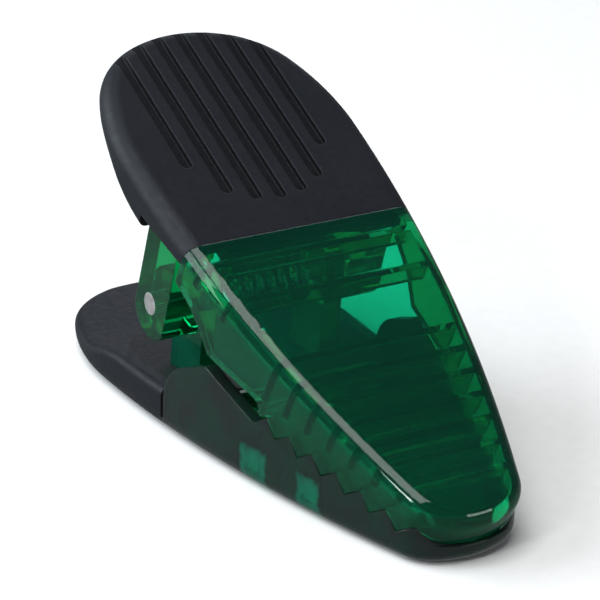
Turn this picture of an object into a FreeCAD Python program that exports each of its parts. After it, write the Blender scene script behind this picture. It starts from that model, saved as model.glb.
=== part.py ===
import FreeCAD, Part
import math
import os
import Sketcher
from FreeCAD import Placement, Rotation, Vector

# Spring clip for bags: two clear jaws with rubber grips turn on one steel pin, and a torsion
# spring on the pin keeps the toothed mouth shut. Three magnet strips lie in the lower jaw's back.
#
# Each half is drawn flat in its own frame, in millimetres: X runs along the jaw from the nose
# to the end of the grip, Y is across, and Z is the depth below the outer face. The halves meet
# on the mouth plane, which leaves the outer face by half the angle between the two halves.
# In the finished part +X points to the nose, Y is along the pin, and the lower half lies on z = 0.

SIZES = {
    # outline of each half, seen from above
    "jaw_length": 104.0,
    "half_width": 20.8,
    "widest_at": 77.5,
    "nose_radius": 14.4,
    "nose_corner": 6.8,
    "nose_chord": 6.2,
    "rear_over_half_width": 1.2,
    "corner_under_half_width": 4.4,
    "rear_chord": 9.1,
    "edge_round": 2.8,
    # closed wedge
    "wedge_angle": 25.0,
    "nose_height": 8.7,
    # moulded jaw
    "plate": 2.2,
    "wall": 2.0,
    "grip_start": 58.1,
    "block_depth": 22.0,
    # teeth, measured along and across the mouth plane
    "tooth_pitch": 4.9,
    "tooth_height": 2.5,
    "tooth_back": 2.3,
    "lip_length": 2.0,
    "tooth_count": 6,
    "tooth_gap": 0.16,
    # side walls behind the teeth
    "throat_start": 35.2,
    "throat_rise": 2.8,
    "throat_round": 2.3,
    "upper_corner": 48.4,
    "upper_corner_rise": 3.0,
    "upper_end_depth": 7.0,
    "upper_tail_radius": 19.0,
    "lower_throat": 36.2,
    "lower_drop": 1.5,
    "lower_peak": 48.6,
    "lower_peak_rise": 0.6,
    "lower_end_to_grip": 0.7,
    "lower_end_height": 5.2,
    "lower_end_round": 8.3,
    # cross ribs under the plates
    "rib_start": 8.2,
    "rib_pitch": 4.4,
    "rib_count": 7,
    "rib_width": 1.1,
    "rib_clear": 2.6,
    "back_rib_to_grip": 10.9,
    "back_rib_step": 7.6,
    "back_rib_depth": 3.0,
    # hinge
    "pin_from_nose": 66.1,
    "pin_rise": 0.5,
    "pin_radius": 1.8,
    "pin_fit": 0.05,
    "ear_lean": 7.0,
    "ear_half_width": 4.6,
    "ear_end_radius": 5.3,
    "ear_end_drop": 0.4,
    "ear_forward": 0.4,
    "ear_face": 19.2,
    "outer_ear": 6.4,
    "inner_ear": 3.2,
    "ear_gap": 0.4,
    "ear_round": 2.0,
    # core of the jaw inside the grip
    "core_skin": 1.2,
    "core_depth": 1.4,
    "core_inset": 3.2,
    # rubber grip
    "grip_pad": 3.6,
    "grip_rim": 4.3,
    "rim_round": 1.3,
    "swell_start": 88.0,
    "swell_end": 71.0,
    "swell_depth": 7.0,
    "scoop_half_width": 17.6,
    "side_depth": 3.3,
    "side_rear_depth": 4.6,
    "side_clear": 0.6,
    "groove_pitch": 3.95,
    "groove_width": 1.9,
    "groove_depth": 0.9,
    "groove_arc": 12.2,
    "groove_count": 7,
    "tongue_reach": 1.7,
    "tongue_depth": 1.5,
    "long_tongue": 17.0,
    "long_tongue_at": 4.5,
    "short_tongue": 6.6,
    "short_tongue_at": 14.0,
    # magnet strips
    "magnet_depth": 1.2,
    "magnet_inset": 3.2,
    "front_magnet_end": 20.8,
    "middle_magnet_start": 25.0,
    "middle_magnet_end": 32.2,
    "rear_magnet_start": 37.4,
    "rear_magnet_to_grip": 4.1,
    # torsion spring
    "wire_radius": 0.85,
    "coil_radius": 3.7,
    "coil_pitch": 2.0,
    "coil_turns": 6,
    "leg_foot_at": 84.0,
    "leg_foot": 7.0,
    "leg_rest": 0.1,
}

TINY = 0.01
FAR = 200.0

doc = FreeCAD.newDocument("bag_clip")
sheet = doc.addObject("Spreadsheet::Sheet", "sizes")
for row, (alias, value) in enumerate(SIZES.items(), start=1):
    sheet.set(f"A{row}", alias)
    sheet.set(f"B{row}", str(value))
    sheet.setAlias(f"B{row}", alias)
doc.recompute()


def size(expression):
    """The value of an expression in the sheet's aliases."""
    return float(sheet.evalExpression(expression))


def bind(obj, **properties):
    """Ties properties of an object to expressions in the sheet's aliases."""
    for name, expression in properties.items():
        obj.setExpression(name, with_sheet(expression))
    return obj


def with_sheet(expression):
    """The same expression as other objects write it, with the sheet's name before each alias."""
    words = []
    for word in expression.replace("(", " ( ").replace(")", " ) ").split():
        words.append(f"sizes.{word}" if word in SIZES else word)
    return " ".join(words)


def box(name, x, y, z, length, width, height):
    """A box from its lowest corner and its sides, each given as an expression."""
    obj = doc.addObject("Part::Box", name)
    bind(obj, Length=length, Width=width, Height=height)
    place(obj, x, y, z)
    return obj


def rod(name, x, y, z, radius, length):
    """A cylinder along Y, from the middle of its first end."""
    obj = doc.addObject("Part::Cylinder", name)
    bind(obj, Radius=radius, Height=length)
    place(obj, x, y, z, Rotation(Vector(1, 0, 0), -90))
    return obj


def place(obj, x, y, z, rotation=Rotation()):
    """Puts an object at a point given as expressions or as numbers."""
    point = Vector(*(size(value) if isinstance(value, str) else value for value in (x, y, z)))
    obj.Placement = Placement(point, rotation)


def join(name, *objects):
    obj = doc.addObject("Part::MultiFuse", name)
    obj.Shapes = list(objects)
    return obj


def common(name, *objects):
    obj = doc.addObject("Part::MultiCommon", name)
    obj.Shapes = list(objects)
    return obj


def cut(name, base, tool):
    obj = doc.addObject("Part::Cut", name)
    obj.Base = base
    obj.Tool = tool
    return obj


def extrude(name, profile, depth, z="0", symmetric=False):
    obj = doc.addObject("Part::Extrusion", name)
    obj.Base = profile
    obj.DirMode = "Normal"
    obj.Solid = True
    obj.Symmetric = symmetric
    bind(obj, LengthFwd=depth)
    place(obj, 0, 0, z)
    return obj


def inset(name, profile, distance):
    """The profile moved inwards all round."""
    obj = doc.addObject("Part::Offset2D", name)
    obj.Source = profile
    obj.Join = 0
    bind(obj, Value=f"-1 * ( {distance} )")
    return obj


def round_rim(name, base, height, radius):
    """Rounds the edges that lie flat at this height of an extruded outline."""
    doc.recompute()
    level = size(height)
    amount = size(radius)
    edges = []
    for number, edge in enumerate(base.Shape.Edges, start=1):
        span = edge.BoundBox
        if abs(span.ZMin - level) < TINY and abs(span.ZMax - level) < TINY:
            edges.append((number, amount, amount))
    obj = doc.addObject("Part::Fillet", name)
    obj.Base = base
    obj.Edges = edges
    return obj


# ---------------------------------------------------------------- outline of a half


REAR_RADIUS = "( half_width + rear_over_half_width )"
REAR_CORNER = "( half_width - corner_under_half_width )"


def corner_arc(end_x, end_radius, corner, chord, towards):
    """Centre of a corner arc inside the arc that ends the outline, and the angle where they meet."""
    half = math.asin(chord / end_radius)
    reach = end_radius - corner
    centre = Vector(end_x + towards * reach * math.cos(half), reach * math.sin(half), 0)
    return centre, half


def flank_radius(centre, corner):
    """Radius of the side arc that is level at the widest point and touches a corner arc."""
    along = size("widest_at") - centre.x
    across = size("half_width") - centre.y
    return (along**2 + across**2 - corner**2) / (2 * (across - corner))


def add_arc(sketch, centre, radius, start, end):
    circle = Part.Circle(centre, Vector(0, 0, 1), radius)
    return sketch.addGeometry(Part.ArcOfCircle(circle, start, end), False)


def outline_sketch():
    """The shape of a half from above: ten arcs that touch, the same on both sides of the axis."""
    nose_x = size("nose_radius")
    rear_x = size(f"jaw_length - {REAR_RADIUS}")
    nose_c, nose_half = corner_arc(nose_x, nose_x, size("nose_corner"), size("nose_chord"), -1)
    rear_c, rear_half = corner_arc(
        rear_x, size(REAR_RADIUS), size(REAR_CORNER), size("rear_chord"), 1
    )
    widest = Vector(size("widest_at"), size("half_width"), 0)
    front_r = flank_radius(nose_c, size("nose_corner"))
    back_r = flank_radius(rear_c, size(REAR_CORNER))
    front_f = widest - Vector(0, front_r, 0)
    back_f = widest - Vector(0, back_r, 0)
    meet_front = math.atan2(nose_c.y - front_f.y, nose_c.x - front_f.x)
    meet_back = math.atan2(rear_c.y - back_f.y, rear_c.x - back_f.x)
    sketch = doc.addObject("Sketcher::SketchObject", "outline")
    side = [
        (rear_c, size(REAR_CORNER), rear_half, meet_back),
        (back_f, back_r, meet_back, math.pi / 2),
        (front_f, front_r, math.pi / 2, meet_front),
        (nose_c, size("nose_corner"), meet_front, math.pi - nose_half),
    ]
    add_arc(sketch, Vector(rear_x, 0, 0), size(REAR_RADIUS), -rear_half, rear_half)
    for centre, radius, start, end in side:
        add_arc(sketch, centre, radius, start, end)
    add_arc(sketch, Vector(nose_x, 0, 0), nose_x, math.pi - nose_half, math.pi + nose_half)
    for centre, radius, start, end in reversed(side):
        mirrored = Vector(centre.x, -centre.y, 0)
        add_arc(sketch, mirrored, radius, 2 * math.pi - end, 2 * math.pi - start)
    tie_outline(sketch)
    return sketch


def tie_outline(sketch):
    """Ties the arcs to each other and to the sheet."""
    count = sketch.GeometryCount
    rear, nose = 0, 5
    for number in range(count):
        joint = Sketcher.Constraint("Tangent", number, 2, (number + 1) % count, 1)
        sketch.addConstraint(joint)
    for number in (rear, nose):
        sketch.addConstraint(Sketcher.Constraint("PointOnObject", number, 3, -1))
        sketch.addConstraint(Sketcher.Constraint("Vertical", number, 1, number, 2))
    sketch.addConstraint(Sketcher.Constraint("Symmetric", 3, 1, 7, 2, -1))
    radii = {0: REAR_RADIUS, 1: REAR_CORNER, 4: "nose_corner"}
    radii.update({5: "nose_radius", 6: "nose_corner", 9: REAR_CORNER})
    for number, alias in radii.items():
        drive(sketch, ("Radius", number), alias)
    drive(sketch, ("DistanceX", -1, 1, rear, 3), f"jaw_length - {REAR_RADIUS}")
    drive(sketch, ("DistanceX", -1, 1, nose, 3), "nose_radius")
    drive(sketch, ("DistanceY", -1, 1, rear, 2), "rear_chord")
    drive(sketch, ("DistanceY", -1, 1, nose, 1), "nose_chord")
    drive(sketch, ("DistanceX", -1, 1, 3, 1), "widest_at")
    drive(sketch, ("DistanceY", -1, 1, 3, 1), "half_width")
    drive(sketch, ("DistanceX", -1, 1, 3, 3), "widest_at")
    drive(sketch, ("DistanceX", -1, 1, 7, 3), "widest_at")


def drive(sketch, constraint, expression):
    """Adds a dimension to a sketch and ties it to the sheet."""
    number = sketch.addConstraint(Sketcher.Constraint(*constraint, size(expression)))
    sketch.setExpression(f"Constraints[{number}]", with_sheet(expression))


# ---------------------------------------------------------------- the mouth plane


def half_angle():
    return math.radians(size("wedge_angle / 2"))


def mouth_start():
    """Where the mouth plane starts in the frame of a half: the point above the nose tip."""
    middle = size("nose_height / 2")
    return Vector(-middle * math.sin(half_angle()), 0, middle * math.cos(half_angle()))


def mouth_point(along, beyond):
    """A point in the frame of a half, from its place along and beyond the mouth plane."""
    return mouth_start() + lean().multVec(Vector(along, 0, beyond))


def on_mouth(obj):
    """Puts a profile that is drawn upright in X and Z on the mouth plane."""
    obj.Placement = Placement(mouth_start(), lean().multiply(upright()))
    return obj


def upright():
    return Rotation(Vector(1, 0, 0), 90)


def profile(name, segments):
    """A closed sketch of lines and arcs. A segment is its end point, and an arc's middle point first."""
    sketch = doc.addObject("Sketcher::SketchObject", name)
    start = segments[-1][-1]
    for points in segments:
        end = points[-1]
        if len(points) == 2:
            sketch.addGeometry(Part.Arc(start, points[0], end), False)
        else:
            sketch.addGeometry(Part.LineSegment(start, end), False)
        start = end
    return sketch


def tooth_line():
    """The zigzag where the jaws meet, from the lip backwards, along and across the mouth plane."""
    half = size("tooth_height / 2")
    points = []
    for number in range(int(size("tooth_count")) + 1):
        tip = size("lip_length") + number * size("tooth_pitch")
        points.append(Vector(tip, -half, 0))
        points.append(Vector(tip + size("tooth_back"), half, 0))
    return points


def mouth_cut(name, teeth, throat):
    """All that lies beyond a jaw's toothed edge and its throat, right across the jaw."""
    far_end = Vector(FAR, throat[-1][-1].y, 0)
    corners = [(Vector(-FAR, FAR, 0),), (Vector(-FAR, teeth[0].y, 0),)]
    corners += [(point,) for point in teeth]
    sketch = profile(f"{name}_edge", corners + throat + [(far_end,), (Vector(FAR, FAR, 0),)])
    return extrude(name, on_mouth(sketch), "4 * half_width", symmetric=True)


def upper_mouth_cut():
    """Beyond the upper jaw's edge. Its throat rises in a quarter round behind the last tooth."""
    gap = size("tooth_gap / 2")
    teeth = [Vector(point.x, -point.y - gap, 0) for point in tooth_line()]
    radius = size("throat_round")
    centre = Vector(size("throat_start") + radius, radius - size("throat_rise"), 0)
    slant = radius * math.sqrt(0.5)
    throat = [
        (centre - Vector(radius, 0, 0),),
        (centre - Vector(slant, slant, 0), centre - Vector(0, radius, 0)),
        (Vector(size("upper_corner"), -size("upper_corner_rise"), 0),),
    ]
    return mouth_cut("upper_mouth_cut", teeth, throat)


def lower_mouth_cut():
    """Beyond the lower jaw's edge, which fills the gaps between the upper jaw's teeth."""
    gap = size("tooth_gap / 2")
    teeth = [Vector(point.x, point.y - gap, 0) for point in tooth_line()]
    throat = [
        (Vector(size("lower_throat"), -size("lower_drop"), 0),),
        (Vector(size("lower_peak"), size("lower_peak_rise"), 0),),
    ]
    return mouth_cut("lower_mouth_cut", teeth, throat)


def side_cut(name, segments):
    """All inside a profile that is drawn in X and Z of a half, right across the jaw."""
    sketch = profile(f"{name}_edge", segments)
    sketch.Placement = Placement(Vector(), upright())
    return extrude(name, sketch, "4 * half_width", symmetric=True)


def upper_tail_cut():
    """All that lies behind the upper side wall, which curves up from its corner to the grip."""
    corner = mouth_point(size("upper_corner"), -size("upper_corner_rise"))
    corner = Vector(corner.x, corner.z, 0)
    end = Vector(size("grip_start"), size("upper_end_depth"), 0)
    chord = end - corner
    radius = size("upper_tail_radius")
    sag = radius - math.sqrt(radius**2 - chord.Length**2 / 4)
    towards_plate = Vector(chord.y, -chord.x, 0).normalize()
    middle = (corner + end) / 2 + towards_plate * sag
    below = mouth_point(size("upper_corner"), FAR)
    segments = [
        (corner,),
        (middle, end),
        (Vector(end.x, size("plate"), 0),),
        (Vector(FAR, size("plate"), 0),),
        (Vector(FAR, below.z, 0),),
        (Vector(below.x, below.z, 0),),
    ]
    return side_cut("upper_tail_cut", segments)


def lower_tail_cut():
    """All that lies behind the lower side wall: it stands up, rounds over and slopes to its peak."""
    peak = mouth_point(size("lower_peak"), size("lower_peak_rise"))
    beyond = mouth_point(size("lower_peak"), FAR)
    end = Vector(size("grip_start - lower_end_to_grip"), size("lower_end_height"), 0)
    radius = size("lower_end_round")
    centre = end - Vector(radius, 0, 0)
    to_peak = Vector(peak.x, peak.z, 0) - centre
    turn = math.atan2(to_peak.y, to_peak.x) - math.acos(radius / to_peak.Length)
    middle = centre + Vector(math.cos(turn / 2), math.sin(turn / 2), 0) * radius
    leave = centre + Vector(math.cos(turn), math.sin(turn), 0) * radius
    plate = size("plate")
    segments = [
        (end,),
        (middle, leave),
        (Vector(peak.x, peak.z, 0),),
        (Vector(beyond.x, beyond.z, 0),),
        (Vector(FAR, beyond.z, 0),),
        (Vector(FAR, plate, 0),),
        (Vector(end.x, plate, 0),),
    ]
    return side_cut("lower_tail_cut", segments)


# ---------------------------------------------------------------- jaws


def ribs(name, inside):
    """Cross ribs between the side walls. The front ones stop short of the mouth plane."""
    side = "-1 * half_width"
    front = []
    for number in range(int(size("rib_count"))):
        start = f"rib_start + {number} * rib_pitch - rib_width / 2"
        front.append(box(f"{name}_rib{number}", start, side, "plate / 2",
                         "rib_width", "2 * half_width", "block_depth"))
    limit = box(f"{name}_rib_limit", 0, 0, 0, "2 * jaw_length", "4 * half_width", "2 * block_depth")
    corner = mouth_point(-size("jaw_length"), -size("rib_clear"))
    place(limit, corner.x, "-2 * half_width", corner.z, lean())
    low = cut(f"{name}_front_ribs", join(f"{name}_rib_row", *front), limit)
    back = []
    for number in range(2):
        start = f"grip_start - back_rib_to_grip + {number} * back_rib_step - rib_width / 2"
        back.append(box(f"{name}_back_rib{number}", start, side, "plate / 2",
                        "rib_width", "2 * half_width", "plate / 2 + back_rib_depth"))
    return common(f"{name}_ribs", join(f"{name}_all_ribs", low, *back), inside)


def shell(name, outline, cuts):
    """The clear part of a jaw, in front of the grip: plate, side walls, teeth and ribs."""
    block = round_rim(
        f"{name}_round", extrude(f"{name}_block", outline, "block_depth"), "0", "edge_round"
    )
    inner = inset(f"{name}_inner_outline", outline, "wall")
    hollow = extrude(f"{name}_hollow", inner, "block_depth", "plate")
    inside = extrude(f"{name}_inside", inner, "block_depth + plate")
    walls = cut(f"{name}_walls", block, hollow)
    ribbed = join(f"{name}_ribbed", walls, ribs(name, inside))
    front = box(f"{name}_front", "-1 * jaw_length", "-2 * half_width", "-1 * plate",
                "jaw_length + grip_start", "4 * half_width", "2 * block_depth")
    kept = common(f"{name}_kept", ribbed, front)
    return cut(f"{name}_shell", kept, join(f"{name}_cuts", *cuts))


def core(name, outline):
    """The plate that carries on from the shell inside the grip."""
    flat = extrude(f"{name}_core_flat", inset(f"{name}_core_outline", outline, "core_inset"),
                   "core_depth", "core_skin")
    behind = box(f"{name}_core_side", "grip_start", "-2 * half_width", 0,
                 "jaw_length", "4 * half_width", "block_depth")
    return common(f"{name}_core", flat, behind)


def along_ear():
    """The direction of an ear from its foot to its end, as it leans towards the nose."""
    return Rotation(Vector(0, 1, 0), -size("ear_lean")).multVec(Vector(0, 0, 1))


def ear_edge(pin, side, depth):
    """The point on an ear's rear edge (side 1) or front edge (side -1) at a depth."""
    direction = along_ear()
    across = Vector(direction.z, 0, -direction.x)
    offset = side * size("ear_half_width") - size("ear_forward")
    point = Vector(pin.x, 0, pin.z) + across * offset
    return point + direction * ((depth - point.z) / direction.z)


def ear(name, pin, start, thickness, inner_side):
    """One ear from the core to past the pin. Its end is an arc, rounded at its inner side."""
    direction = along_ear()
    across = Vector(direction.z, 0, -direction.x)
    radius = size("ear_end_radius")
    half = size("ear_half_width")
    forward = across * size("ear_forward")
    centre = Vector(pin.x, 0, pin.z) - forward + direction * size("ear_end_drop")
    corner = direction * math.sqrt(radius**2 - half**2)
    foot = size("core_skin + core_depth / 2")
    outline = [
        (ear_edge(pin, 1, foot),),
        (centre + corner + across * half,),
        (centre + direction * radius, centre + corner - across * half),
        (ear_edge(pin, -1, foot),),
    ]
    flat = [tuple(Vector(point.x, point.z, 0) for point in points) for points in outline]
    sketch = profile(f"{name}_edge", flat)
    sketch.Placement = Placement(Vector(), upright())
    body = extrude(f"{name}_body", sketch, thickness, symmetric=True)
    place(body, 0, size(f"{start} + {thickness} / 2"), 0)
    limit = box(f"{name}_limit", 0, start, 0, "jaw_length", thickness, "block_depth")
    limit.setExpression("Height", None)
    limit.Height = centre.z + radius
    doc.recompute()
    inner_face = size(start if inner_side > 0 else f"{start} + {thickness}")
    rounded = doc.addObject("Part::Fillet", f"{name}_rounding")
    rounded.Base = limit
    rounded.Edges = [
        (number, size("ear_round"), size("ear_round"))
        for number, edge in enumerate(limit.Shape.Edges, start=1)
        if edge.BoundBox.ZMin > centre.z and edge.BoundBox.YLength < TINY
        and abs(edge.BoundBox.YMin - inner_face) < TINY
    ]
    return common(name, body, rounded)


def ears(name, pin, inner_face, thickness):
    """The two ears of a jaw, the same on both sides of the middle."""
    near = ear(f"{name}_near_ear", pin, f"-1 * ( {inner_face} ) - {thickness}", thickness, -1)
    far = ear(f"{name}_far_ear", pin, inner_face, thickness, 1)
    return [near, far]


def pin_in_half(rise):
    """The pin's place in the frame of a half. rise is its distance beyond the mouth plane."""
    return mouth_point(size("pin_from_nose"), rise)


def jaw(name, outline, cuts, pin, inner_face, thickness):
    """A whole jaw without its pin hole."""
    return join(f"{name}_solid", shell(name, outline, cuts), core(name, outline),
                *ears(name, pin, inner_face, thickness))


def pin_hole(name, pin, radius):
    return rod(f"{name}_pin_hole", pin.x, "-2 * half_width", pin.z, radius, "4 * half_width")


# ---------------------------------------------------------------- grips


def grooves(name):
    """Thumb grooves from an arc of front ends out through the rear edge."""
    parts = []
    count = int(size("groove_count"))
    for number in range(count):
        across = (number - (count - 1) / 2) * size("groove_pitch")
        start = size("widest_at") - math.sqrt(size("groove_arc") ** 2 - across**2)
        slot = box(f"{name}_groove{number}", 0, 0, 0, "jaw_length", "groove_width", "2 * groove_depth")
        place(slot, start, across - size("groove_width / 2"), "-1 * groove_depth")
        end = doc.addObject("Part::Cylinder", f"{name}_groove_end{number}")
        bind(end, Radius="groove_width / 2", Height="2 * groove_depth")
        place(end, start, across, "-1 * groove_depth")
        parts += [slot, end]
    return join(f"{name}_grooves", *parts)


def tongues(name):
    """Rubber tongues that reach forward under the clear plate."""
    parts = []
    for number, (width, centre) in enumerate(
        (("long_tongue", "-1 * long_tongue_at"), ("short_tongue", "short_tongue_at"))
    ):
        parts.append(box(f"{name}_tongue{number}", "grip_start - tongue_reach",
                         f"{centre} - {width} / 2", "plate",
                         "2 * tongue_reach", width, "tongue_depth"))
    return parts


def inner_side():
    """All beyond a grip's inner side, which swells in two arcs from the rear to the hinge."""
    start = Vector(size("swell_start"), size("grip_rim"), 0)
    end = Vector(size("swell_end"), size("swell_depth"), 0)
    length = start.x - end.x
    rise = end.y - start.y
    radius = (length**2 + rise**2) / (4 * rise)
    half_turn = math.asin(length / 2 / radius) / 2
    step = Vector(radius * math.sin(half_turn), radius * (math.cos(half_turn) - 1), 0)
    segments = [
        (start,),
        (start - step, (start + end) / 2),
        (end + step, end),
        (Vector(-FAR, end.y, 0),),
        (Vector(-FAR, FAR, 0),),
        (Vector(FAR, FAR, 0),),
        (Vector(FAR, start.y, 0),),
    ]
    return segments


def scoop_radius():
    """Radius of the long hollow in a grip's inner side, from its width where the rim is deepest."""
    rise = size("swell_depth - grip_pad")
    return (size("scoop_half_width") ** 2 + rise**2) / (2 * rise)


def scoop(name):
    """The hollow for the finger, along the whole grip."""
    radius = scoop_radius()
    obj = doc.addObject("Part::Cylinder", name)
    obj.Radius = radius
    bind(obj, Height="2 * jaw_length")
    place(obj, 0, 0, size("grip_pad") + radius, Rotation(Vector(0, 1, 0), 90))
    return obj


def ear_notch(name, pin):
    """Room beside the ears: the grip's side is shallow from its front edge to just behind them."""
    rear = ear_edge(pin, 1, size("side_rear_depth"))
    deep = ear_edge(pin, 1, size("block_depth"))
    clear = size("side_clear")
    segments = [
        (Vector(0, size("side_depth"), 0),),
        (Vector(size("grip_start"), size("side_depth"), 0),),
        (Vector(rear.x + clear, rear.z, 0),),
        (Vector(deep.x + clear, deep.z, 0),),
        (Vector(0, deep.z, 0),),
    ]
    between = box(f"{name}_between", 0, "outer_ear - ear_face", 0,
                  "jaw_length", "2 * ( ear_face - outer_ear )", "2 * block_depth")
    return cut(name, side_cut(f"{name}_sides", segments), between)


def round_inner_edge(name, base):
    """Rounds the edge all round a grip's inner side. The lines across it stay as they are."""
    doc.recompute()
    edges = []
    for number, edge in enumerate(base.Shape.Edges, start=1):
        span = edge.BoundBox
        if span.ZMin > size("grip_rim") - TINY and span.XLength > TINY:
            edges.append((number, size("rim_round"), size("rim_round")))
    obj = doc.addObject("Part::Fillet", name)
    obj.Base = base
    obj.Edges = edges
    return obj


def grip(name, outline, notches):
    """The rubber moulded round the core: grooved outside, and hollowed inside."""
    block = extrude(f"{name}_block", outline, "block_depth")
    outer = round_rim(f"{name}_outer_round", block, "0", "edge_round")
    swollen = cut(f"{name}_swollen", outer, side_cut(f"{name}_inner_side", inner_side()))
    rounded = round_inner_edge(f"{name}_round", swollen)
    behind = box(f"{name}_side", "grip_start", "-2 * half_width", "-1 * plate",
                 "jaw_length", "4 * half_width", "block_depth")
    pad = common(f"{name}_pad", rounded, behind)
    cuts = join(f"{name}_cuts", grooves(name), scoop(f"{name}_scoop"), *notches)
    return join(f"{name}_solid", cut(f"{name}_trimmed", pad, cuts), *tongues(name))


# ---------------------------------------------------------------- magnets, pin, spring


MAGNETS = {
    "front_magnet": ("0", "front_magnet_end"),
    "middle_magnet": ("middle_magnet_start", "middle_magnet_end"),
    "rear_magnet": ("rear_magnet_start", "grip_start - rear_magnet_to_grip"),
}


def magnet_strips(kind, outline):
    """Flat strips in the lower jaw's back, or the recesses that they fill."""
    strips = {}
    for name, (start, end) in MAGNETS.items():
        flat = extrude(f"{name}_{kind}_flat",
                       inset(f"{name}_{kind}_outline", outline, "magnet_inset"), "magnet_depth")
        span = box(f"{name}_{kind}_span", start, "-2 * half_width", "-1 * plate",
                   f"{end} - {start}", "4 * half_width", "block_depth")
        strips[name] = common(f"{name}_{kind}", flat, span)
    return strips


def wire(name, start, end):
    """A straight piece of spring wire between two points."""
    obj = doc.addObject("Part::Cylinder", name)
    bind(obj, Radius="wire_radius")
    obj.Height = (end - start).Length
    place(obj, *start, Rotation(Vector(0, 0, 1), end - start))
    return obj


def bend(name, point):
    obj = doc.addObject("Part::Sphere", name)
    bind(obj, Radius="wire_radius")
    place(obj, *point)
    return obj


def foot_points(pin, lower):
    """The bend and the end of a leg's foot, seen from the pin in X and Z of the finished part."""
    radius = scoop_radius()
    outermost = size("( coil_turns + 1 ) * coil_pitch / 2 + wire_radius")
    hollow = radius - math.sqrt(radius**2 - outermost**2)
    depth = size("grip_pad + wire_radius + leg_rest") + hollow
    points = []
    for at in (size("leg_foot_at"), size("leg_foot_at + leg_foot")):
        away = Vector(at - pin.x, 0, depth - pin.z)
        points.append((lower_turn() if lower else upper_turn()).multVec(away))
    return points


def leg(name, across, knee, toe, coil_angle):
    """One leg: from the coil to the knee, and a foot that lies along the handle."""
    radius = size("coil_radius")
    start = Vector(radius * math.cos(coil_angle), across, radius * math.sin(coil_angle))
    knee = knee + Vector(0, across, 0)
    toe = toe + Vector(0, across, 0)
    straight = wire(f"{name}_leg", start, knee)
    return [straight, bend(f"{name}_knee", knee), wire(f"{name}_foot", knee, toe)]


def touch_angle(knee, towards):
    """Angle on the coil where a straight line to the knee leaves it."""
    return math.atan2(knee.z, knee.x) + towards * math.acos(size("coil_radius") / knee.Length)


def spring(lower_pin, upper_pin):
    """Round wire: a coil about the pin and a leg on each handle. Its origin is on the pin's axis."""
    lower_knee, lower_toe = foot_points(lower_pin, True)
    upper_knee, upper_toe = foot_points(upper_pin, False)
    first = touch_angle(lower_knee, 1)
    last = touch_angle(upper_knee, -1)
    turns = size("coil_turns") + (last - first) / (2 * math.pi)
    length = turns * size("coil_pitch")
    helix = doc.addObject("Part::Helix", "spring_line")
    bind(helix, Pitch="coil_pitch", Radius="coil_radius")
    helix.Height = length
    section = doc.addObject("Sketcher::SketchObject", "spring_section")
    circle = Part.Circle(Vector(), Vector(0, 0, 1), size("wire_radius"))
    section.addGeometry(circle, False)
    drive(section, ("Radius", 0), "wire_radius")
    place(section, "coil_radius", 0, 0, upright())
    coil = doc.addObject("Part::Sweep", "spring_coil")
    coil.Sections = [section]
    coil.Spine = (helix, [])
    coil.Solid = True
    coil.Frenet = True
    roll = Rotation(Vector(0, 1, 0), -math.degrees(first))
    place(coil, 0, length / 2, 0, roll.multiply(Rotation(Vector(1, 0, 0), 90)))
    parts = leg("lower", length / 2, lower_knee, lower_toe, first)
    parts += leg("upper", -length / 2, upper_knee, upper_toe, last)
    return join("spring", coil, *parts)


# ---------------------------------------------------------------- the finished part


def lower_turn():
    """Turns a half so that its nose points to +X and its outer face lies underneath."""
    return Rotation(Vector(0, 0, 1), 180)


def upper_turn():
    """Turns a half over, and leans it back by the wedge angle."""
    return Rotation(Vector(0, 1, 0), 180 + size("wedge_angle"))


def lean():
    """Turns a direction along the outer face to the same direction along the mouth plane."""
    return Rotation(Vector(0, 1, 0), -math.degrees(half_angle()))


def build():
    outline = outline_sketch()
    lower_pin = pin_in_half(size("pin_rise"))
    upper_pin = pin_in_half(-size("pin_rise"))
    recesses = magnet_strips("recess", outline)
    inner_face = "ear_face - outer_ear - ear_gap - inner_ear"
    upper = jaw("upper", outline, [upper_mouth_cut(), upper_tail_cut()], upper_pin,
                "ear_face - outer_ear", "outer_ear")
    lower = jaw("lower", outline, [lower_mouth_cut(), lower_tail_cut()], lower_pin,
                inner_face, "inner_ear")
    recessed = cut("lower_recessed", lower, join("recesses", *recesses.values()))
    notch = ear_notch("ear_notch", upper_pin)
    upper_pieces = {
        "upper_jaw": cut("upper_bored", upper, pin_hole("upper", upper_pin, "pin_radius")),
        "upper_grip": cut("upper_grip_fit", grip("upper_grip", outline, [notch]), upper),
    }
    lower_hole = pin_hole("lower", lower_pin, "pin_radius + pin_fit")
    lower_pieces = {
        "lower_jaw": cut("lower_bored", recessed, lower_hole),
        "lower_grip": cut("lower_grip_fit", grip("lower_grip", outline, []), lower),
    }
    lower_pieces.update(magnet_strips("strip", outline))
    pin = rod("pin", 0, 0, 0, "pin_radius", "2 * ear_face")
    pin_pieces = {"hinge_pin": pin, "torsion_spring": spring(lower_pin, upper_pin)}
    doc.recompute()
    for piece in upper_pieces.values():
        piece.Placement = Placement(mouth_top(), upper_turn())
    for piece in lower_pieces.values():
        piece.Placement = Placement(Vector(), lower_turn())
    axis = lower_turn().multVec(lower_pin)
    place(pin, axis.x, "-1 * ear_face", axis.z, Rotation(Vector(1, 0, 0), -90))
    place(pin_pieces["torsion_spring"], *axis)
    doc.recompute()
    return {**upper_pieces, **lower_pieces, **pin_pieces}, axis


def mouth_top():
    """The upper half's nose corner in the finished part, across the mouth plane from the lower's."""
    height = size("nose_height")
    return Vector(height * math.sin(half_angle()), 0, height * math.cos(half_angle()))


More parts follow.
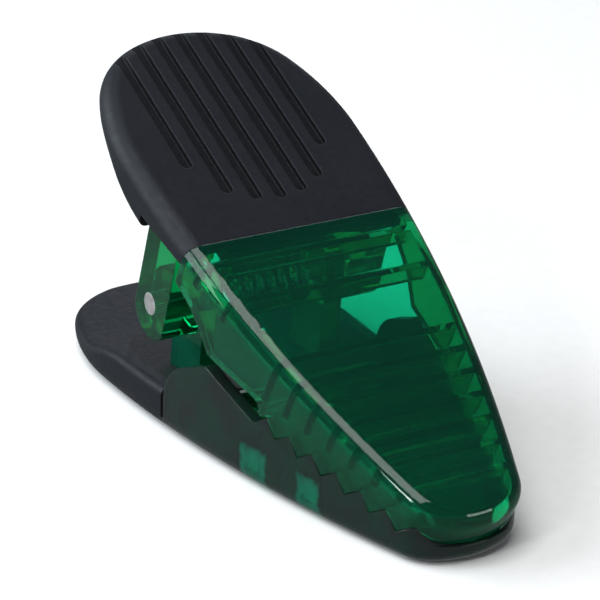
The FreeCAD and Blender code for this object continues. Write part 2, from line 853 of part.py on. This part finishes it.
def centre_on_x(pieces):
    """Moves everything along X so that the origin is under the middle of the whole part."""
    boxes = [piece.Shape.optimalBoundingBox() for piece in pieces.values()]
    low = min(span.XMin for span in boxes)
    high = max(span.XMax for span in boxes)
    shift = Vector(-(low + high) / 2, 0, 0)
    for piece in pieces.values():
        piece.Placement.Base = piece.Placement.Base + shift
    doc.recompute()
    return shift


def check_and_write(pieces):
    for obj in doc.Objects:
        if "Invalid" in obj.State or "Error" in obj.State:
            raise RuntimeError(f"{obj.Name} failed: {obj.State}")
    for name, piece in pieces.items():
        shape = piece.Shape
        if shape.isNull() or not shape.isValid() or len(shape.Solids) != 1:
            raise RuntimeError(f"{name} is not one valid solid")
    os.makedirs("parts", exist_ok=True)
    for name, piece in pieces.items():
        piece.Label = name
        piece.Shape.exportStep(f"parts/{name}.step")


pieces, axis = build()
shift = centre_on_x(pieces)
print("pin axis at", axis + shift)
check_and_write(pieces)
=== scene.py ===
import bpy
import math
from mathutils import Matrix, Vector


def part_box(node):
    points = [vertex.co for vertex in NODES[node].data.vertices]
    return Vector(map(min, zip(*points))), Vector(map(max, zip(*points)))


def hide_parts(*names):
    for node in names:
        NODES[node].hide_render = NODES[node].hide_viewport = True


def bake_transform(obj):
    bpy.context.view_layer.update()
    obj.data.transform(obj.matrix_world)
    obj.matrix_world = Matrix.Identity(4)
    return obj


# Bag clip with clear green jaws, black rubber grips, a steel pin and a torsion spring,
# lying flat on a pale floor under soft studio light.

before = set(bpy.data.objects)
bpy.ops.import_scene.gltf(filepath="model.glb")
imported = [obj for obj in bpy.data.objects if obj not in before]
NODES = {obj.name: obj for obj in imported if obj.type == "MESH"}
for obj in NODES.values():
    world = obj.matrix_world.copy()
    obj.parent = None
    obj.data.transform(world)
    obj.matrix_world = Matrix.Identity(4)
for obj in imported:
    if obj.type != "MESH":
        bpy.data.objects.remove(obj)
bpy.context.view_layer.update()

MM = 0.001

# Painted shade in the lower jaw's outer wall: a dark tint and lower clearness that stand in for the
# shade inside it.
OUTLINE_STATIONS = 28  # a colour ramp holds up to 32 stops
WALL_DEPTH = 2.4 * MM
WALL_FADE = 1.0 * MM
WINDOW_EDGE = 1.1 * MM  # half of the soft edge at a window's ends
WINDOW_FADE_FROM = 3.6 * MM  # above the underside
WINDOW_FADE_TO = 8.0 * MM
PAINTED_SHADE_UNEVEN = 0.16
WINDOW_CLEARNESS = 0.88
PAINTED_SHADE_CLEARNESS = 0.36

CLEARNESS = 0.955
PLASTIC_IOR = 1.4
TINT_DENSITY = 540.0
TINT = (0.0, 0.86, 0.68, 1)


# ---------------------------------------------------------------- node helpers


def new_material(name):
    """A material with only a Principled shader and its output."""
    material = bpy.data.materials.new(name)
    material.use_nodes = True
    tree = material.node_tree
    tree.nodes.clear()
    output = tree.nodes.new("ShaderNodeOutputMaterial")
    shader = tree.nodes.new("ShaderNodeBsdfPrincipled")
    tree.links.new(shader.outputs["BSDF"], output.inputs["Surface"])
    return material, tree, shader


def add(tree, kind, **settings):
    """A node with its properties, or its inputs where the name has a capital letter."""
    node = tree.nodes.new(kind)
    for name, value in settings.items():
        name = name.replace("_", " ") if name[0].isupper() else name
        if name in node.inputs and name[0].isupper():
            node.inputs[name].default_value = value
        else:
            setattr(node, name, value)
    return node


def noise(tree, scale, detail=4.0, roughness=0.55, stretch=(1, 1, 1)):
    """Noise in the part's own coordinates, in metres. Returns its value socket."""
    place = add(tree, "ShaderNodeTexCoord")
    mapping = add(tree, "ShaderNodeMapping")
    mapping.inputs["Scale"].default_value = stretch
    texture = add(tree, "ShaderNodeTexNoise", Scale=scale, Detail=detail, Roughness=roughness)
    tree.links.new(place.outputs["Object"], mapping.inputs["Vector"])
    tree.links.new(mapping.outputs["Vector"], texture.inputs["Vector"])
    return texture.outputs["Fac"]


def ramp(tree, value, stops):
    """Colours along a value. Each stop is a position and a colour."""
    node = add(tree, "ShaderNodeValToRGB")
    elements = node.color_ramp.elements
    while len(elements) < len(stops):
        elements.new(0.5)
    for element, (position, colour) in zip(elements, stops):
        element.position = position
        element.color = colour
    tree.links.new(value, node.inputs["Fac"])
    return node.outputs["Color"]


def grey(shade):
    return (shade, shade, shade, 1)


def spread(tree, value, low, high, start=0.3, end=0.7):
    """The value from start to end, spread from low to high."""
    node = add(tree, "ShaderNodeMapRange")
    for name, number in (("From Min", start), ("From Max", end), ("To Min", low), ("To Max", high)):
        node.inputs[name].default_value = number
    tree.links.new(value, node.inputs["Value"])
    return node.outputs["Result"]


def calculate(tree, operation, first, second=None, clamp=False):
    """A math node on one socket or two."""
    node = add(tree, "ShaderNodeMath", operation=operation, use_clamp=clamp)
    tree.links.new(first, node.inputs[0])
    if second is not None:
        tree.links.new(second, node.inputs[1])
    return node.outputs["Value"]


def mix_colour(tree, share, first, second):
    """The first colour, and the second where share is 1. A colour is a socket or a tuple."""
    node = add(tree, "ShaderNodeMixRGB")
    for name, value in (("Fac", share), ("Color1", first), ("Color2", second)):
        if isinstance(value, tuple):
            node.inputs[name].default_value = value
        else:
            tree.links.new(value, node.inputs[name])
    return node.outputs["Color"]


def bump(tree, height, distance, strength=1.0, normal=None):
    """A normal raised by the height, on top of another normal if one is given."""
    node = add(tree, "ShaderNodeBump", Strength=strength, Distance=distance)
    tree.links.new(height, node.inputs["Height"])
    if normal is not None:
        tree.links.new(normal, node.inputs["Normal"])
    return node.outputs["Normal"]


def soft_edges(tree, radius):
    """A normal that rounds sharp moulded edges."""
    return add(tree, "ShaderNodeBevel", samples=6, Radius=radius).outputs["Normal"]


# ---------------------------------------------------------------- lower jaw's smoke


def outline(node, stations):
    """The node's half-width at even steps along it, from the hull of its mesh seen from above."""
    hull = []
    for point in sorted((v.co.x, abs(v.co.y)) for v in NODES[node].data.vertices):
        while len(hull) > 1:
            (ax, ay), (bx, by) = hull[-2:]
            if (bx - ax) * (point[1] - ay) < (by - ay) * (point[0] - ax):
                break
            hull.pop()
        hull.append(point)
    rear, nose = hull[0][0], hull[-1][0]
    shortest = 1e-9
    widths = []
    for step in range(stations):
        x = rear + (nose - rear) * step / (stations - 1)
        after = 1
        while hull[after][0] < x and after < len(hull) - 1:
            after += 1
        (ax, ay), (bx, by) = hull[after - 1], hull[after]
        share = min(1.0, (x - ax) / max(bx - ax, shortest))
        widths.append(ay + (by - ay) * share)
    return widths


def outer_wall(tree, place, length):
    """1 in the lower jaw's outer wall, and 0 in what stands inside it."""
    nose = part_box("lower_jaw")[1].x
    widths = outline("lower_jaw", OUTLINE_STATIONS)
    widest = max(widths)
    stops = [(i / (len(widths) - 1), grey(width / widest)) for i, width in enumerate(widths)]
    half_width = spread(tree, ramp(tree, length, stops), 0.0, widest, 0.0, 1.0)
    across = calculate(tree, "ABSOLUTE", place.outputs["Y"])
    depth = calculate(tree, "SUBTRACT", half_width, across)
    inner = WALL_DEPTH + WALL_FADE
    wall = spread(tree, depth, 1.0, 0.0, WALL_DEPTH, inner)
    end = spread(tree, place.outputs["X"], 0.0, 1.0, nose - inner, nose - WALL_DEPTH)
    return calculate(tree, "MAXIMUM", wall, end)


def painted_shade_share(tree):
    """Share of painted shade: 1 in the lower jaw's outer wall, and 0 inside it and low down between
    the magnet strips.
    """
    low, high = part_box("lower_jaw")
    edges = []
    for before, after in (("rear_magnet", "middle_magnet"), ("middle_magnet", "front_magnet")):
        start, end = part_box(before)[1].x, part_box(after)[0].x
        edges += [(start - WINDOW_EDGE, 1), (start + WINDOW_EDGE, 0)]
        edges += [(end - WINDOW_EDGE, 0), (end + WINDOW_EDGE, 1)]
    stops = [((x - low.x) / (high.x - low.x), grey(shade)) for x, shade in edges]
    source = add(tree, "ShaderNodeTexCoord")
    place = add(tree, "ShaderNodeSeparateXYZ")
    tree.links.new(source.outputs["Object"], place.inputs["Vector"])
    length = spread(tree, place.outputs["X"], 0.0, 1.0, low.x, high.x)
    fade = (low.z + WINDOW_FADE_FROM, low.z + WINDOW_FADE_TO)
    above = spread(tree, place.outputs["Z"], 0.0, 1.0, *fade)
    dark = calculate(tree, "MAXIMUM", ramp(tree, length, stops), above)
    dark = calculate(tree, "MINIMUM", dark, outer_wall(tree, place, length))
    uneven = spread(tree, noise(tree, 420, detail=3), -PAINTED_SHADE_UNEVEN, PAINTED_SHADE_UNEVEN)
    return calculate(tree, "ADD", dark, uneven, clamp=True)


# ---------------------------------------------------------------- materials


def clear_green(name, with_painted_shade=False):
    """Tinted clear moulding with a faint ripple. With painted shade, its outer wall is painted dark
    and made less clear, standing in for the shade inside it.
    """
    material, tree, shader = new_material(name)
    cloud = noise(tree, 35, detail=3)
    colour = ramp(tree, cloud, [(0.3, (0.008, 0.50, 0.29, 1)), (0.7, (0.018, 0.60, 0.36, 1))])
    shader.inputs["Transmission Weight"].default_value = CLEARNESS
    if with_painted_shade:
        # Painted shade: the outer wall is darkened and made less clear, except low down in the
        # windows between the magnet strips.
        dark = painted_shade_share(tree)
        painted_shade_colour = ramp(
            tree,
            noise(tree, 110, detail=5),
            [(0.35, (0.020, 0.022, 0.024, 1)), (0.68, (0.012, 0.045, 0.032, 1))],
        )
        colour = mix_colour(tree, spread(tree, dark, 0.0, 1.0, 0.0, 0.7), colour, painted_shade_colour)
        clear = spread(tree, dark, WINDOW_CLEARNESS, PAINTED_SHADE_CLEARNESS, 0.0, 1.0)
        tree.links.new(clear, shader.inputs["Transmission Weight"])
    tree.links.new(colour, shader.inputs["Base Color"])
    shader.inputs["IOR"].default_value = PLASTIC_IOR
    handling = noise(tree, 240, detail=6, roughness=0.7)
    tree.links.new(spread(tree, handling, 0.015, 0.10, 0.5, 0.75), shader.inputs["Roughness"])
    ripple = noise(tree, 90, detail=2)
    waves = bump(tree, ripple, 0.03 * MM, 0.35, soft_edges(tree, 0.3 * MM))
    scuffs = noise(tree, 2600, detail=2, stretch=(0.15, 1, 1))
    tree.links.new(bump(tree, scuffs, 0.004 * MM, 0.25, waves), shader.inputs["Normal"])
    tint = add(tree, "ShaderNodeVolumeAbsorption", Density=TINT_DENSITY)
    tint.inputs["Color"].default_value = TINT
    output = tree.nodes["Material Output"]
    tree.links.new(tint.outputs["Volume"], output.inputs["Volume"])
    return material


def grip_rubber():
    """Soft black rubber with a fine moulded grain, a dusty sheen, and painted shade in the grooves.
    """
    material, tree, shader = new_material("grip_rubber")
    face = ramp(
        tree,
        noise(tree, 60, detail=5),
        [(0.3, (0.0065, 0.0080, 0.0120, 1)), (0.7, (0.0100, 0.0115, 0.0160, 1))],
    )
    # Painted shade: an ambient occlusion node finds the grooves and other recesses, and they are
    # painted near black.
    groove_painted_shade = (0.0012, 0.0014, 0.0024, 1)
    openness = add(
        tree, "ShaderNodeAmbientOcclusion", Distance=2.2 * MM, only_local=True, samples=6
    ).outputs["AO"]
    recess_shade_share = spread(tree, openness, 1.0, 0.0, 0.55, 0.95)
    tree.links.new(mix_colour(tree, recess_shade_share, face, groove_painted_shade), shader.inputs["Base Color"])
    tree.links.new(spread(tree, noise(tree, 900), 0.44, 0.6), shader.inputs["Roughness"])
    shader.inputs["Specular IOR Level"].default_value = 0.24
    shader.inputs["Specular Tint"].default_value = (0.90, 0.95, 1.0, 1)
    shader.inputs["Sheen Weight"].default_value = 0.03
    shader.inputs["Sheen Roughness"].default_value = 0.4
    grain = noise(tree, 5200, detail=2)
    edges = soft_edges(tree, 0.35 * MM)
    tree.links.new(bump(tree, grain, 0.02 * MM, 0.35, edges), shader.inputs["Normal"])
    return material


def steel(name, colour, rough, streak=(1, 1, 1)):
    """Plated steel with fine marks, drawn out where streak is below 1."""
    material, tree, shader = new_material(name)
    marks = noise(tree, 1200, detail=3, stretch=streak)
    shader.inputs["Metallic"].default_value = 1.0
    dull, bright = (tuple(c * share for c in colour) + (1,) for share in (0.82, 1.0))
    tree.links.new(ramp(tree, marks, [(0.35, dull), (0.65, bright)]), shader.inputs["Base Color"])
    tree.links.new(spread(tree, marks, rough, rough + 0.14), shader.inputs["Roughness"])
    edges = soft_edges(tree, 0.2 * MM)
    tree.links.new(bump(tree, marks, 0.01 * MM, 0.3, edges), shader.inputs["Normal"])
    return material


def magnet_sheet():
    """Bonded ferrite sheet: near black, with pale and rusty specks."""
    material, tree, shader = new_material("magnet_sheet")
    specks = noise(tree, 2600, detail=1)
    colours = [
        (0.0, (0.010, 0.010, 0.011, 1)),
        (0.62, (0.016, 0.016, 0.017, 1)),
        (0.70, (0.09, 0.075, 0.06, 1)),
    ]
    tree.links.new(ramp(tree, specks, colours), shader.inputs["Base Color"])
    tree.links.new(spread(tree, noise(tree, 700), 0.55, 0.75), shader.inputs["Roughness"])
    tree.links.new(bump(tree, specks, 0.03 * MM, 0.5), shader.inputs["Normal"])
    return material


def floor_card():
    """Matt white card with a barely visible tooth."""
    material, tree, shader = new_material("floor_card")
    colours = [(0.3, grey(0.90)), (0.7, grey(0.93))]
    fibre = ramp(tree, noise(tree, 350, detail=5), colours)
    tree.links.new(fibre, shader.inputs["Base Color"])
    shader.inputs["Roughness"].default_value = 0.9
    return material


def paint(mesh, material):
    mesh.materials.clear()
    mesh.materials.append(material)


# ---------------------------------------------------------------- spring


def torsion_spring(material):
    """The spring as a piece of its own: a copy of the spring node's mesh in spring steel, in place
    of the hidden node.
    """
    mesh = NODES["torsion_spring"].data.copy()
    spring = bpy.data.objects.new("wound_spring", mesh)
    bpy.context.scene.collection.objects.link(spring)
    paint(mesh, material)
    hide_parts("torsion_spring")
    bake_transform(spring)


# ---------------------------------------------------------------- set


def floor():
    """A wide pale floor that the part's gloss doesn't reflect."""
    bpy.ops.mesh.primitive_plane_add(size=6, location=(0, 0, 0))
    plane = bpy.context.object
    plane.name = "floor"
    paint(plane.data, floor_card())
    plane.visible_glossy = False


def area_light(name, place, width, height, power, colour=(1, 1, 1)):
    """A rectangular softbox that faces the part."""
    lamp = bpy.data.lights.new(name, "AREA")
    lamp.shape = "RECTANGLE"
    lamp.size, lamp.size_y = width, height
    lamp.energy = power
    lamp.color = colour
    light = bpy.data.objects.new(name, lamp)
    bpy.context.scene.collection.objects.link(light)
    light.location = place
    aim = Vector((0, 0, 0.02))
    light.rotation_euler = (aim - Vector(place)).to_track_quat("-Z", "Y").to_euler()


def room():
    """A dim room, nearly dark above and a soft grey below the horizon."""
    world = bpy.data.worlds.new("room")
    bpy.context.scene.world = world
    world.use_nodes = True
    tree = world.node_tree
    direction = add(tree, "ShaderNodeTexCoord")
    axes = add(tree, "ShaderNodeSeparateXYZ")
    tree.links.new(direction.outputs["Generated"], axes.inputs["Vector"])
    height = spread(tree, axes.outputs["Z"], 0.0, 1.0, -1.0, 1.0)
    shades = [
        (0.0, (0.20, 0.21, 0.21, 1)),
        (0.45, (0.26, 0.27, 0.27, 1)),
        (0.52, (0.10, 0.10, 0.11, 1)),
        (1.0, (0.05, 0.05, 0.055, 1)),
    ]
    tree.links.new(ramp(tree, height, shades), tree.nodes["Background"].inputs["Color"])


def studio():
    """Softboxes above, along the near side, behind and beyond the nose, and a small bright one."""
    area_light("above", (0.12, -0.36, 1.34), 1.0, 1.0, 15.5)
    area_light("near_side", (-0.56, -0.66, 0.50), 0.8, 0.7, 9.2, (0.88, 0.96, 1))
    area_light("behind", (-0.75, 0.46, 0.42), 0.6, 0.3, 0.7, (0.9, 0.95, 1))
    area_light("beyond_nose", (0.92, 0.50, 0.22), 0.45, 0.2, 1.7)
    area_light("small_bright", (0.25, -0.76, 0.58), 0.13, 0.13, 1.2)


def camera():
    """The view from the nose's near side, from a little above, through a long lens."""
    azimuth, elevation, roll = (math.radians(angle) for angle in (58.83, 24.72, 1.69))
    distance = 0.4236
    off_right, off_up = -0.0040, 0.02135  # how far the view's middle is from the target
    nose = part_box("lower_jaw")[1].x
    target = Vector((nose - 0.0468, 0, 0.0125))
    flat = math.cos(elevation)
    towards = Vector((math.sin(azimuth) * flat, -math.cos(azimuth) * flat, math.sin(elevation)))
    level_right = (-towards).cross(Vector((0, 0, 1))).normalized()
    level_up = level_right.cross(-towards)
    right = level_right * math.cos(roll) + level_up * math.sin(roll)
    up = level_up * math.cos(roll) - level_right * math.sin(roll)
    look = (-towards + right * off_right + up * off_up).normalized()
    side = look.cross(up).normalized()
    top = side.cross(look)
    turn = Matrix((side, top, -look)).transposed().to_4x4()
    data = bpy.data.cameras.new("camera")
    data.lens = 165.8
    data.clip_start = 0.02
    viewer = bpy.data.objects.new("camera", data)
    bpy.context.scene.collection.objects.link(viewer)
    viewer.matrix_world = Matrix.Translation(target + towards * distance) @ turn
    bpy.context.scene.camera = viewer


def build():
    rubber = grip_rubber()
    sheet = magnet_sheet()
    looks = {
        "upper_jaw": clear_green("clear_green"),
        "lower_jaw": clear_green("green_with_painted_shade", with_painted_shade=True),
        "upper_grip": rubber,
        "lower_grip": rubber,
        "front_magnet": sheet,
        "middle_magnet": sheet,
        "rear_magnet": sheet,
        "hinge_pin": steel("pin_steel", (0.92, 0.91, 0.90), 0.4, (1, 0.05, 1)),
    }
    for node, material in looks.items():
        paint(NODES[node].data, material)
    torsion_spring(steel("spring_steel", (0.6, 0.6, 0.61), 0.22))
    floor()
    room()
    studio()
    camera()
    bpy.context.scene.view_settings.view_transform = "Standard"


build()
